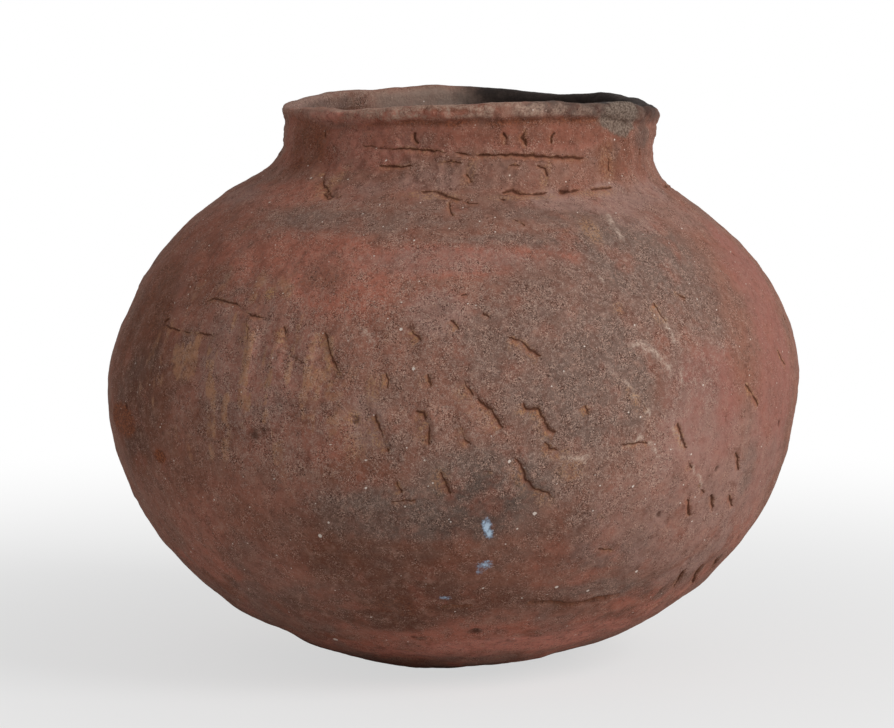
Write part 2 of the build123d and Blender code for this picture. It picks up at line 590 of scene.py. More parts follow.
# Finger gouges: photo pixels, width, depth
gouges = [
    ([(462, 377), (473, 394), (482, 403), (493, 409), (499, 419), (504, 431)], 6.5, 2.1),
    ([(414, 411), (423, 414), (426, 422), (430, 431), (430, 445)], 6.0, 1.8),
    ([(374, 413), (379, 428), (384, 440), (389, 455)], 6.5, 1.6),
    ([(521, 401), (526, 408), (539, 408), (544, 419), (548, 429), (558, 432)], 5.0, 1.8),
    ([(544, 441), (550, 449), (561, 452), (571, 450)], 4.0, 1.3),
    ([(512, 458), (521, 465), (526, 478), (534, 488), (546, 493), (556, 502)], 5.5, 2.0),
    ([(439, 472), (447, 483), (451, 493)], 5.0, 1.8),
    ([(461, 426), (463, 435), (472, 448)], 3.2, 0.9),
    ([(398, 481), (404, 493)], 4.5, 1.0),
    ([(507, 336), (525, 343), (530, 350), (543, 355)], 4.5, 1.4),
    ([(325, 328), (330, 353), (336, 368), (342, 380)], 6.0, 1.3),
    ([(451, 319), (459, 330)], 4.0, 1.1),
    ([(410, 327), (421, 341)], 4.5, 0.9),
    ([(386, 371), (388, 388)], 5.0, 0.9),
    ([(427, 374), (432, 387)], 4.5, 0.9),
    ([(585, 404), (588, 416)], 4.0, 0.9),
    ([(678, 422), (682, 437), (690, 449)], 3.6, 1.4),
    ([(690, 460), (693, 470)], 2.6, 1.1),
    ([(654, 302), (660, 312), (667, 324)], 4.5, 1.0),
    ([(620, 302), (625, 316)], 4.0, 0.7),
    ([(745, 383), (754, 397), (759, 407)], 3.0, 1.0),
    ([(775, 350), (784, 366)], 3.0, 0.8),
    ([(627, 386), (638, 398), (649, 411)], 4.0, 0.6),
    ([(283, 325), (284, 336), (285, 349)], 5.0, 1.3),
    ([(246, 318), (249, 336), (247, 352)], 4.5, 0.4),
    ([(327, 166), (325, 180), (328, 192), (338, 197)], 4.0, 1.2),
]

# Cracks: photo pixels, width, depth
cracks = [
    ([(437, 162), (450, 161), (463, 163)], 2.2, 0.6),
    ([(605, 143), (607, 158), (609, 172)], 2.6, 0.6),
    ([(463, 200), (470, 202), (480, 202)], 3.0, 1.7),
    ([(497, 197), (506, 199)], 2.6, 1.3),
    ([(536, 165), (545, 169), (547, 176)], 2.4, 1.3),
    ([(508, 165), (520, 167)], 2.2, 0.5),
    ([(360, 145), (372, 147), (384, 148)], 1.6, 0.3),
    ([(374, 148), (410, 149), (450, 153)], 2.2, 0.9),
    ([(450, 153), (479, 156), (521, 155), (555, 157), (590, 159)], 2.6, 2.2),
    ([(378, 166), (401, 167), (414, 165)], 2.4, 1.2),
    ([(419, 193), (437, 192), (446, 196), (458, 199), (478, 198)], 3.0, 1.6),
    ([(500, 193), (513, 190), (521, 194), (534, 193), (550, 192)], 3.2, 1.7),
    ([(560, 188), (571, 191), (584, 189)], 3.8, 2.8),
    ([(590, 190), (600, 188), (613, 187)], 3.0, 1.7),
    ([(466, 171), (468, 176), (472, 182)], 2.2, 0.8),
    ([(450, 201), (452, 217)], 2.4, 1.0),
    ([(323, 193), (330, 198), (342, 195)], 3.0, 1.5),
    ([(204, 303), (215, 299), (235, 303), (252, 315), (268, 318)], 3.0, 1.0),
    ([(163, 324), (178, 330), (190, 333), (204, 334), (218, 338)], 3.0, 1.0),
    ([(288, 353), (298, 358), (306, 364)], 3.0, 0.8),
    ([(243, 227), (253, 227)], 2.4, 0.8),
    ([(460, 295), (469, 293)], 2.0, 0.7),
    ([(432, 304), (447, 298)], 2.0, 0.7),
    ([(483, 312), (491, 316)], 2.2, 0.8),
    ([(513, 220), (526, 226)], 2.2, 0.9),
    ([(391, 501), (411, 500), (417, 498)], 2.4, 0.9),
    ([(481, 472), (493, 472)], 2.0, 0.8),
    ([(620, 446), (638, 442), (649, 443)], 2.6, 1.2),
    ([(699, 485), (707, 495)], 2.2, 0.8),
    ([(598, 514), (606, 520)], 2.2, 0.8),
    ([(597, 550), (615, 551)], 2.2, 0.7),
    ([(440, 606), (456, 607), (474, 606)], 3.2, 4.2),
    ([(526, 602), (552, 602), (577, 603), (591, 598), (607, 596), (623, 595)], 3.4, 5.2),
    ([(636, 613), (663, 602)], 2.4, 0.8),
    ([(673, 293), (686, 299)], 2.6, 0.9),
    ([(563, 230), (568, 232)], 2.2, 0.9),
    ([(479, 645), (496, 645)], 2.2, 0.7),
    ([(404, 648), (416, 653)], 2.2, 0.8),
]

# Short nicks, cut nearly straight down: photo pixels, width, depth
nicks = [
    ([(413, 133), (415, 139), (419, 144)], 2.2, 1.5),
    ([(503, 134), (506, 139), (506, 146)], 2.2, 1.5),
    ([(527, 131), (522, 139), (528, 146)], 2.0, 1.3),
    ([(555, 134), (551, 139), (552, 145)], 2.0, 1.3),
    ([(308, 129), (309, 136)], 1.8, 1.3),
    ([(323, 128), (325, 136)], 1.8, 1.3),
    ([(624, 130), (624, 136)], 1.5, 0.8),
    ([(640, 147), (641, 155)], 1.6, 1.0),
    ([(164, 323), (170, 318)], 2.4, 1.4),
    ([(689, 499), (692, 518)], 1.9, 1.6),
    ([(713, 495), (714, 512)], 2.0, 1.5),
    ([(729, 493), (732, 508)], 2.0, 1.4),
    ([(737, 451), (740, 472)], 2.2, 1.4),
    ([(687, 568), (682, 577), (674, 590)], 3.4, 1.8),
    ([(704, 564), (700, 572), (693, 585)], 3.2, 1.8),
    ([(720, 557), (712, 570)], 3.0, 1.6),
]

# Round pits: photo pixel's x and y, radius, depth
pits = [
    (254, 433, 3.0, 1.0), (262, 431, 1.8, 0.8), (355, 420, 2.0, 0.8), (476, 632, 2.6, 1.4),
    (718, 470, 1.5, 1.2), (661, 516, 1.7, 1.2), (779, 423, 1.6, 1.2), (688, 561, 1.5, 1.1),
    (650, 231, 1.5, 0.9), (611, 231, 1.4, 0.9), (732, 253, 1.6, 0.9), (409, 327, 1.3, 1.0),
    (414, 637, 1.4, 0.9), (127, 406, 1.8, 1.2), (331, 195, 1.5, 1.2), (563, 190, 2.2, 1.6),
]

for pixels, width, depth in troughs:
    press(from_pixels(pixels, width, depth, dust=0.0, wobble=1.0))

# How each kind of mark is cut: its list, what its widths and depths are scaled by, dust and wobble
cuts = [
    (gouges, 1.5, 0.52, 1.0, 0.6),
    (cracks, 1.0, 0.45, 0.7, 0.42),
    (nicks, 1.3, 0.5, 0.6, 0.5),
]
for strokes, widen, deepen, dust, wobble in cuts:
    for pixels, width, depth in strokes:
        cut(from_pixels(pixels, widen * width, deepen * depth, dust, wobble))
pit_depth_scale = 0.8
for x, y, size, depth in pits:
    pit(photo.spot((x, y)), size, pit_depth_scale * depth)

# The same kinds of mark on the sides and back, which the photograph doesn't show
front_start, front_end = 195.0, 345.0
scattered_marks = 120
scattered_pits = 150
back_cracks = 15  # round the foot of the neck and on the neck


def hidden_turn(margin=0.0):
    """A random azimuth, in degrees, on the part of the pot that the photograph doesn't show."""
    return (front_end + rng.uniform(0, 360 - (front_end - front_start) - margin)) % 360


for number in range(scattered_marks):
    turn = hidden_turn()
    level = rng.choice(seam_levels) + rng.uniform(-12, 22)
    slant = math.radians(rng.normal(-58, 22))
    length = rng.uniform(5, 22)
    curl = rng.uniform(-0.7, 0.7)
    path = [(0.0, 0.0)]
    for share in (1, 2, 3, 4):
        lean = slant + curl * (share - 2.5) / 3
        x, y = path[-1]
        path.append((x + length / 4 * math.cos(lean), y + length / 4 * math.sin(lean)))
    size = rng.uniform(2.2, 6.0)
    depth = rng.uniform(0.14, 0.22) * size
    cut(Stroke(on_body(level, turn), path, size, depth, dust=rng.uniform(0.3, 0.9), wobble=0.7))
for number in range(scattered_pits):
    turn = hidden_turn()
    pit(on_body(rng.uniform(12, 235), turn), rng.uniform(0.6, 1.1), rng.uniform(0.3, 0.7))
for number in range(back_cracks):
    level = rng.choice([collar_bottom + 3, collar_top]) + rng.uniform(-3, 3)
    turn = hidden_turn(margin=26)
    length = rng.uniform(9, 34)
    path = [(share * length, rng.uniform(-1.4, 1.4)) for share in (0, 0.2, 0.4, 0.6, 0.8, 1)]
    cut(Stroke(on_body(level, turn), path, 3.0, rng.uniform(0.5, 1.2), dust=0.55, wobble=0.45))

# Rim: its height and its overhang wander round the mouth, as (azimuth in degrees, millimetres)
rim_lift = [
    (0, -4.3), (12, -2.9), (24, -0.7), (34, 0.2), (43, 0.3), (62, -0.6), (71, -0.1), (83, 0.9), (99, 2.1),
    (120, 0.9), (143, 0.5), (155, -0.1), (166, -1.5), (180, -3.3), (195, -3.0), (230, -1.7), (247, -0.8),
    (256, 0.5), (277, 1.4), (296, 1.7), (317, 0.4), (335, -1.8),
]
rim_reach = [
    (0, -0.3), (40, -0.2), (90, -0.4), (140, -0.6), (180, -0.7), (220, -0.9), (270, -0.4), (300, -0.1),
    (330, 0.1),
]
rim_blur = columns // 72  # columns to either side that the line is smoothed over


def round_rim(values):
    """A smooth line round the mouth through given values."""
    turns, amounts = zip(*values)
    line = np.interp(np.degrees(azimuth), turns, amounts, period=360)
    kernel = np.hanning(2 * rim_blur + 1)
    padded = np.concatenate([line[-rim_blur:], line, line[:rim_blur]])
    return np.convolve(padded, kernel / kernel.sum(), "valid")


neck_share = smooth((height - collar_top + 4) / (rim_height - collar_top + 4))[:, None]
lip_share = smooth((height - lip_bottom + 1) / 5)[:, None]
lip_reach = smooth((radius - mouth_radius) / (lip_radius - mouth_radius))[:, None]
lip_outside = lip_share * on_outside * lip_reach
lift = neck_share * round_rim(rim_lift)
lift = lift + 0.3 * lip_share * texture(12.0, 460.0)
rise += lip_outside * round_rim(rim_reach)

# Lumps on the lip and the neck, fewer at the back of the mouth
front_lip = np.where(np.sin(azimuth) < 0, 1.0, 0.25)
facing_out = np.clip(normal_out, 0, 1)[:, None]
lumps = 0.7 * texture(5.5, 200.0) + 0.45 * texture(2.2, 240.0)
rise += lip_share * front_lip * (0.3 + 0.7 * facing_out) * lumps
rise += lip_outside * front_lip * 0.4 * noise(bare * (1, 1, 0.3) + 420.0, 4.2)
neck_zone = np.exp(-(((height - collar_top + 2) / 15) ** 2))[:, None] * on_outside
rise += neck_zone * (0.55 * texture(5.0, 640.0) + 0.36 * texture(2.4, 660.0))

# The groove under the lip, deepest at the front
groove_width = 1.7
groove_depth = 1.7
groove_turn = math.radians(272)  # azimuth where it is deepest
groove_level = lip_bottom + 1.2 + 0.9 * texture(11.0, 280.0) + 0.5 * texture(3.0, 284.0)
groove = np.exp(-(((height[:, None] - groove_level) / groove_width) ** 2)) * on_outside
groove = groove * smooth(0.1 + 0.9 * np.cos(azimuth - groove_turn) + 0.2 * texture(14.0, 260.0))
rise -= groove_depth * groove
# Painted shadow in the groove under the lip's overhang: darker, redder, with dark flecks
mark("gloom", 0.4 * groove)
mark("rust", 0.65 * groove)
mark("dark", groove**3 * (0.2 + 0.4 * texture(4.0, 260.0)))

# Colours on the clay by mask, from the fire, from what was left on it later, and painted light and shade:
# photo pixel's x and y, reach to the right, reach up, strength
stains = {
    "smoke": [
        (484, 496, 17, 12, 0.95), (468, 526, 18, 7, 0.6), (440, 512, 24, 10, 0.5), (595, 556, 14, 8, 0.6),
        (617, 557, 16, 8, 0.6), (637, 590, 12, 6, 0.5), (561, 246, 16, 5, 0.5), (640, 133, 9, 7, 0.6),
        (397, 440, 6, 11, 0.6), (599, 511, 14, 9, 0.4), (635, 562, 14, 8, 0.5),
    ],
    # Painted shade on the left edge, which is turned from the lamp, and in cracks, pits, nicks and troughs;
    # broad darker patches low down
    "gloom": [
        (146, 370, 10, 32, 0.7), (150, 396, 12, 20, 0.5), (130, 432, 14, 12, 1.0),
        (475, 632, 3.5, 2.4, 0.6), (420, 638, 3, 1.6, 0.6), (457, 607, 12, 1.8, 0.8),
        (493, 646, 5, 1.4, 0.6), (404, 649, 4, 1.4, 0.6), (256, 432, 5, 3, 0.5), (240, 420, 14, 10, 0.35),
        (570, 548, 20, 8, 0.4), (128, 335, 10, 24, 0.5), (440, 600, 40, 14, 0.75), (380, 520, 18, 6, 0.4),
        (285, 550, 14, 12, 0.4), (320, 515, 22, 7, 0.45), (681, 578, 2.0, 6, 1.0), (699, 574, 2.0, 6, 1.0),
        (716, 563, 2.0, 5, 0.9), (664, 589, 2.0, 4, 0.8), (580, 602, 20, 1.6, 0.8), (580, 525, 24, 10, 0.5),
        (310, 610, 26, 10, 0.5), (352, 562, 22, 14, 0.5), (306, 146, 12, 12, 0.3), (240, 562, 12, 16, 0.3),
        (540, 602, 16, 3, 0.7), (420, 575, 20, 14, 0.4), (388, 620, 20, 10, 0.8), (185, 360, 7, 14, 0.7),
        (126, 416, 12, 14, 0.7), (133, 386, 10, 14, 0.7), (470, 525, 16, 6, 0.6),
    ],
    # The ovals along the bottom edge, y 585 to 655, are painted bounce light from the floor on the clay that
    # faces down; the other three are pink patches
    "foot": [
        (520, 645, 40, 9, 1.0), (600, 630, 26, 8, 0.65), (645, 612, 18, 8, 0.4), (690, 585, 16, 10, 0.3),
        (440, 655, 30, 6, 0.6), (334, 112, 18, 4, 0.8), (314, 271, 16, 11, 0.5), (372, 138, 14, 9, 0.6),
    ],
    "cloud": [
        (360, 222, 40, 8, 0.6), (470, 205, 30, 8, 0.45), (570, 215, 30, 10, 0.65), (640, 255, 34, 24, 0.85),
        (690, 290, 18, 24, 0.7), (560, 290, 26, 20, 0.6), (520, 340, 34, 20, 0.65),
        (600, 380, 30, 30, 0.85), (560, 400, 26, 20, 0.7), (640, 340, 26, 26, 0.65),
        (495, 486, 34, 16, 1.1), (430, 512, 50, 13, 1.0), (360, 500, 20, 9, 0.35), (560, 460, 24, 18, 0.55),
        (746, 474, 8, 13, 0.8), (600, 590, 24, 7, 0.65), (330, 600, 26, 12, 0.5), (255, 560, 14, 14, 0.45),
        (290, 430, 30, 14, 0.35), (480, 175, 34, 8, 0.4), (430, 590, 24, 8, 0.3), (530, 240, 34, 5, 0.6),
        (430, 525, 44, 8, 0.7), (690, 395, 20, 18, 0.4), (667, 397, 13, 11, 0.6), (660, 520, 22, 16, 0.4),
        (582, 108, 24, 4, 1.2),
    ],
    "flush": [
        (440, 260, 60, 9, 1.0), (320, 258, 36, 15, 0.9), (530, 257, 30, 7, 0.9), (700, 440, 14, 22, 0.7),
        (300, 140, 22, 14, 0.8), (560, 138, 46, 5, 0.7), (420, 138, 34, 6, 0.7), (200, 240, 26, 30, 0.6),
        (170, 300, 14, 24, 0.4), (220, 540, 30, 30, 0.5), (290, 500, 30, 10, 0.4), (520, 635, 60, 12, 0.9),
        (640, 600, 20, 10, 0.7), (430, 650, 60, 8, 0.85), (342, 274, 22, 20, 1.3), (327, 267, 14, 13, 2.0),
        (330, 114, 16, 4, 1.4), (365, 130, 20, 10, 1.5), (290, 195, 20, 10, 0.7), (230, 262, 26, 16, 0.8),
        (215, 570, 20, 14, 0.7), (748, 520, 14, 14, 0.7), (742, 250, 12, 14, 0.5), (240, 350, 50, 40, 0.5),
        (555, 560, 12, 10, 0.5), (290, 560, 10, 12, 0.5), (620, 618, 30, 7, 0.9), (377, 142, 14, 10, 1.4),
        (345, 150, 14, 12, 0.9), (172, 285, 14, 18, 0.8), (320, 438, 16, 12, 0.7), (368, 492, 14, 8, 0.8),
        (382, 602, 20, 10, 0.7), (437, 303, 13, 8, 0.7), (254, 194, 14, 8, 0.6), (407, 114, 18, 4, 0.9),
        (262, 388, 18, 28, 0.8),
    ],
    # The ovals at the left edge, x 120 to 152, are painted shade, warm and dark, on the side turned from the
    # lamp; the others are brown patches
    "brown": [
        (400, 560, 44, 18, 0.8), (470, 545, 22, 14, 0.6), (380, 600, 30, 10, 0.6), (330, 540, 20, 12, 0.5),
        (560, 134, 50, 6, 0.6), (640, 150, 8, 14, 0.6), (130, 330, 8, 26, 0.45), (470, 600, 34, 5, 0.5),
        (420, 134, 40, 6, 0.5), (455, 107, 22, 3, 0.8), (320, 150, 16, 14, 0.4), (120, 300, 8, 20, 0.5),
        (160, 480, 14, 14, 0.3), (130, 345, 26, 44, 1.0), (128, 425, 24, 24, 1.0), (152, 392, 16, 24, 0.8),
        (350, 560, 22, 16, 1.0), (180, 470, 20, 16, 0.5), (616, 152, 16, 12, 0.7), (308, 145, 16, 12, 0.6),
        (200, 240, 22, 20, 0.5), (210, 285, 14, 12, 0.6), (216, 419, 16, 10, 0.7), (245, 520, 16, 12, 0.5),
        (536, 568, 14, 9, 0.5), (494, 575, 14, 9, 0.5), (357, 476, 18, 9, 0.6),
    ],
    # The ovals along the collar's flare at the right, x 569 to 650 and y 193 to 203, are a painted highlight
    # where the flare tips up to the lamp; the others are paler patches
    "pale": [
        (690, 470, 26, 30, 0.6), (670, 540, 24, 18, 0.6), (740, 450, 16, 26, 0.45), (630, 510, 20, 16, 0.5),
        (720, 500, 20, 22, 0.7), (610, 540, 18, 14, 0.4), (612, 203, 24, 7, 1.0), (240, 365, 34, 26, 0.5),
        (240, 195, 24, 7, 0.5), (680, 215, 18, 12, 0.5), (370, 145, 22, 10, 0.45), (330, 113, 18, 5, 0.8),
        (440, 262, 40, 7, 0.5), (745, 520, 24, 18, 0.5), (760, 480, 20, 20, 0.5), (569, 200, 18, 7, 1.1),
        (650, 194, 14, 9, 0.9), (440, 311, 13, 10, 0.7), (695, 563, 10, 7, 0.9), (368, 421, 8, 12, 0.6),
        (720, 539, 11, 9, 0.8), (377, 146, 12, 8, 0.6), (602, 193, 14, 5, 1.0), (637, 220, 14, 8, 0.6),
        (428, 186, 12, 8, 0.5), (353, 192, 14, 8, 0.5), (669, 577, 9, 6, 0.7),
    ],
    "bloom": [
        (500, 260, 75, 26, 0.7), (480, 340, 80, 30, 0.9), (470, 430, 75, 28, 0.9), (640, 320, 44, 50, 0.95),
        (600, 450, 44, 30, 0.8), (300, 400, 50, 40, 0.9), (380, 500, 40, 14, 0.7), (350, 220, 50, 14, 0.7),
        (250, 330, 40, 30, 0.7), (230, 385, 44, 34, 0.6),
    ],
    "dust": [
        (592, 230, 4, 7, 0.5), (270, 293, 2.2, 2.6, 1.0), (353, 418, 3, 3, 0.7), (372, 390, 3, 6, 0.4),
        (606, 160, 4, 8, 0.3), (609, 172, 3, 4, 0.3), (545, 175, 2, 8, 0.4), (470, 172, 2, 7, 0.3),
        (430, 196, 10, 2, 0.45), (525, 197, 14, 2, 0.45), (590, 193, 12, 2, 0.55), (330, 185, 3, 9, 0.35),
        (355, 446, 5, 6, 0.3), (570, 470, 6, 5, 0.35), (440, 480, 4, 5, 0.35),
    ],
    "rust": [
        (122, 421, 15.0, 7.0, 1.3), (161, 456, 4.0, 2.8, 1.2), (538, 416, 4, 4, 0.35),
        (308, 142, 20, 16, 0.55), (300, 118, 14, 6, 0.4), (366, 128, 20, 10, 0.45), (356, 160, 14, 8, 0.3),
        (128, 335, 10, 26, 0.45), (158, 290, 16, 22, 0.5), (424, 418, 2.0, 3.0, 0.3),
        (320, 271, 16, 11, 0.5), (388, 606, 20, 10, 0.45), (158, 320, 12, 14, 0.5),
    ],
    "slip": [
        (742, 262, 15, 26, 0.95), (771, 335, 18, 46, 0.9), (772, 430, 20, 40, 0.8), (706, 410, 24, 28, 1.1),
        (560, 138, 46, 5, 0.5), (420, 138, 34, 6, 0.5), (440, 258, 40, 7, 0.5), (640, 160, 8, 14, 0.5),
    ],
}
for mask, ovals in stains.items():
    for x, y, reach_right, reach_up, strength in ovals:
        stain(mask, photo.spot((x, y)), reach_right, reach_up, strength)

# Pale specks: photo pixel's x and y, reach
specks = [
    (321, 535, 0.9), (534, 514, 0.8), (588, 591, 0.7), (557, 588, 0.8), (414, 368, 0.7), (366, 487, 0.6),
    (329, 522, 0.6), (510, 462, 0.7), (336, 639, 1.2), (637, 572, 0.7), (400, 328, 0.7), (633, 487, 0.6),
]
for x, y, reach in specks:
    fleck("chalk", photo.spot((x, y)), reach, reach)

# Pale scrapes: photo pixels, width
scuffs = [
    ([(627, 347), (640, 343), (660, 357), (677, 373)], 2.2),
    ([(605, 360), (617, 380), (630, 390), (650, 413)], 1.1),
    ([(654, 303), (662, 318), (670, 330), (680, 346)], 2.0),
    ([(606, 213), (615, 228), (624, 242)], 2.2),
    ([(681, 368), (683, 383)], 1.4),
    ([(643, 402), (650, 416)], 1.4),
    ([(648, 438), (659, 462)], 1.4),
    ([(672, 421), (678, 434), (689, 449)], 1.6),
    ([(360, 325), (376, 344)], 1.2),
    ([(598, 272), (606, 285)], 1.2),
    ([(690, 465), (706, 490)], 1.2),
    ([(560, 455), (590, 460)], 2.0),
    ([(620, 448), (645, 436)], 1.4),
]
scuff_width_scale = 0.6
for pixels, width in scuffs:
    scuff(from_pixels(pixels, scuff_width_scale * width, 0.0, dust=0.0, wobble=1.4))


def patches(share, kinds, shift, finer, weight):
    """Ragged patches of colour on a share of the pot: mask, cell, threshold and most, for each kind."""
    for number, (mask, cell, low, most) in enumerate(kinds):
        step = 130.0 * number
        field = noise(bare + shift + step, cell)
        field = field + weight * noise(bare + (shift + 60.0) + step, cell / finer)
        mark(mask, most * share * smooth((field - low) / 0.6))


# The same kinds of colour on the sides and back, smaller patches low down, and specks all over
turned_back = np.degrees(np.abs(wrapped(azimuth - math.radians(90))))
back_share = smooth((108 - turned_back) / 26) * on_outside
back_colours = [
    ("cloud", 62, 0.0, 0.75),
    ("flush", 56, 0.0, 0.7),
    ("brown", 46, 0.15, 0.7),
    ("pale", 44, 0.15, 0.7),
    ("bloom", 56, -0.2, 0.9),
]
patches(back_share, back_colours, shift=1000.0, finer=2.3, weight=0.5)
low_share = smooth((78 - height) / 34)[:, None] * on_outside
low_colours = [("flush", 17, 0.05, 0.75), ("brown", 15, 0.05, 0.7), ("cloud", 20, 0.05, 0.5)]
patches(low_share, low_colours, shift=1700.0, finer=2.2, weight=0.6)
scattered_specks = 260
for number in range(scattered_specks):
    reach = rng.uniform(0.22, 0.5)
    fleck("chalk", on_body(rng.uniform(8, 230), rng.uniform(0, 360)), reach, reach)

# Wiping streaks down the left of the belly, slanting on the right shoulder and level under the lip:
# mask, photo pixel, reach to the right and up, lean in degrees, cell, strength, relief
wipes = [
    ("tan", (235, 370), (56, 40), 0, 4.2, 1.7, 0.5),
    ("bloom", (645, 315), (34, 44), -42, 3.4, 1.0, 0.15),
    ("flush", (555, 132), (46, 6), 90, 1.8, 1.0, 0.25),
    ("flush", (400, 133), (46, 6), 90, 1.8, 1.0, 0.25),
]
for mask, pixel, *wipe in wipes:
    streaks(mask, photo.spot(pixel), *wipe)

# Two more patches of streaks at the back
streaks("tan", on_body(120, 60), (60, 30), lean=5, cell=4.4, strength=0.7, relief=0.3)
streaks("bloom", on_body(150, 120), (50, 40), lean=-35, cell=3.6, strength=0.9, relief=0.15)

# Splashes of blue paint: photo pixel's x and y, reach to the right, reach up, strength
splashes = [
    (487, 526, 1.6, 3.4, 1.0), (489, 534, 1.5, 2.2, 1.0), (484, 522, 1.0, 1.2, 0.9),
    (484, 565, 3.4, 2.4, 0.7), (479, 571, 1.4, 1.8, 0.7), (444, 598, 2.6, 1.6, 0.7),
    (488, 561, 1.0, 0.8, 0.9),
]
for x, y, reach_right, reach_up, strength in splashes:
    fleck("paint", photo.spot((x, y)), reach_right, reach_up, strength)

# A pale crust on the lip at the right
crust_pixel = (620, 120)
crust_lump_pixel = (621, 118)
stain("crust", photo.spot(crust_pixel), 11.5, 9.0, 1.0, ragged=1.2)
bulge(photo.spot(crust_lump_pixel), 7.0, 6.5, 0.7)

# Soot and painted shade at the back and right of the mouth, where the inner wall is turned from the lamp,
# and deep in the pot; soot on the rim and on the lip at the right
mouth_soot_and_shade_turn = math.radians(22)  # azimuth of the middle of the soot and painted shade in the mouth
rim_soot_turn = math.radians(335)  # the same, on top of the rim
lip_soot_turn = math.radians(338)  # the same, on the outside of the lip
past_crest = arc - arc[crest_row]  # distance along the wall from the row where the inside starts
inside = ~on_outside | (past_crest > -14)[:, None]
inward = smooth((past_crest + 9) / 6)[:, None]
deep = smooth((rim_height - 25 - height) / 60)[:, None]
turned = np.degrees(np.abs(wrapped(azimuth - mouth_soot_and_shade_turn)))
soot_and_shade_line = np.maximum(
    smooth((84 - turned + 6 * texture(12.0, 340.0)) / 26),
    0.46 * smooth((turned - 92) / 30) * inward,
)
# Inside: soot and painted shade, darkest at the back and right and deep in the pot
masks["soot"] = np.where(inside, soot_and_shade_line * (1 - deep) + 0.85 * deep, 0.0)
masks["soot"] *= np.where(on_outside, 0.9, 1.0)
lip_middle = (mouth_radius + lip_radius) / 2
rim_top = np.exp(-(((radius - lip_middle) / 4.5) ** 2 + ((height - rim_height) / 5) ** 2))[:, None]
mark("soot", 0.7 * rim_top * smooth(1.6 * np.cos(azimuth - rim_soot_turn) - 0.75 + 0.4 * broad))
lip_soot = smooth(3.0 * np.cos(azimuth - lip_soot_turn) - 2.15 + 0.5 * broad) * on_outside
lip_top = smooth((height - lip_bottom - 1) / 8)[:, None]
mark("soot", (0.4 * lip_share + 0.3 * lip_top) * lip_soot)

# Pale wear and dark crumbled spots on the lip, and the smooth lining of the pot
crest = rim_top * smooth((radius - mouth_radius - 2) / 3)[:, None]
lip_face = smooth((height - lip_bottom - 2.2) / 2.4)[:, None] * on_outside
clumps = smooth(0.72 + 1.1 * texture(4.2, 380.0) + 0.6 * texture(1.9, 384.0))
front_wear = smooth((np.sin(azimuth) + 0.6) / -0.3 + 0.6 * np.cos(azimuth) + 0.6)
masks["wear"] = np.maximum(crest, lip_face) * clumps * (0.35 + 0.65 * front_wear)
crumbled = smooth(1.5 * texture(2.6, 386.0) - 0.2)
mark("gloom", 0.5 * lip_face * crumbled)
masks["lining"] = inward * (1 - 0.9 * smooth((turned - 90) / 28))
mark("brown", 0.9 * inward * smooth((turned - 86) / 26))


# Meshes
class Net:
    """Faces of one piece as flat lists of corners, with where each corner lies on the bake's map."""

    def __init__(self):
        self.corners = []
        self.sizes = []
        self.maps = []

    def add(self, corners, maps):
        """Add faces that all have as many corners: arrays of (faces, corners) and (faces, corners, 2)."""
        self.corners.append(corners.reshape(-1))
        self.sizes.append(np.full(len(corners), corners.shape[1]))
        self.maps.append(maps.reshape(-1, 2))


map_bands = 3  # a ring's long strip is cut in bands, so that it fills a square map
map_margin = 0.004
least_width = 0.62  # of a column near the poles, where columns are merged in pairs


def arc_steps(rows):
    """Lengths from each row of a ring to the next, and from the last to the first."""
    r, z = radius[rows], height[rows]
    return np.hypot(np.roll(r, -1) - r, np.roll(z, -1) - z)


def ring_net(rows):
    """A closed ring: rows go round the wall's section and columns round the pot."""
    net = Net()
    count = len(rows)
    level = np.concatenate([[0], np.cumsum(arc_steps(rows))])
    level = level / level[-1]
    here = np.arange(count)
    there = (here + 1) % count
    column = np.arange(columns)
    following = (column + 1) % columns
    a = here[:, None] * columns + column
    b = here[:, None] * columns + following
    c = there[:, None] * columns + following
    d = there[:, None] * columns + column
    band = column * map_bands // columns
    band_start = band * columns / map_bands
    left = (column - band_start) * map_bands / columns
    right = (column + 1 - band_start) * map_bands / columns
    span = 1 - 2 * map_margin

    def across(share):
        return np.broadcast_to(map_margin + span * share, a.shape)

    def upward(share):
        return (band + map_margin + span * share[:, None]) / map_bands

    low, high = upward(level[:-1]), upward(level[1:])
    corners = [(left, low), (right, low), (right, high), (left, high)]
    maps = np.stack([np.stack([across(side), end], -1) for side, end in corners], 2)
    net.add(np.stack([a, b, c, d], -1).reshape(-1, 4), maps.reshape(-1, 4, 2))
    return net


def sharp_rows_of(spans):
    """Row numbers, within a piece, of the edges where its faces meet at an angle."""
    marks, start = [], 0
    for first, last in spans:
        marks += [start, start + last - first]
        start += last - first + 1
    return marks


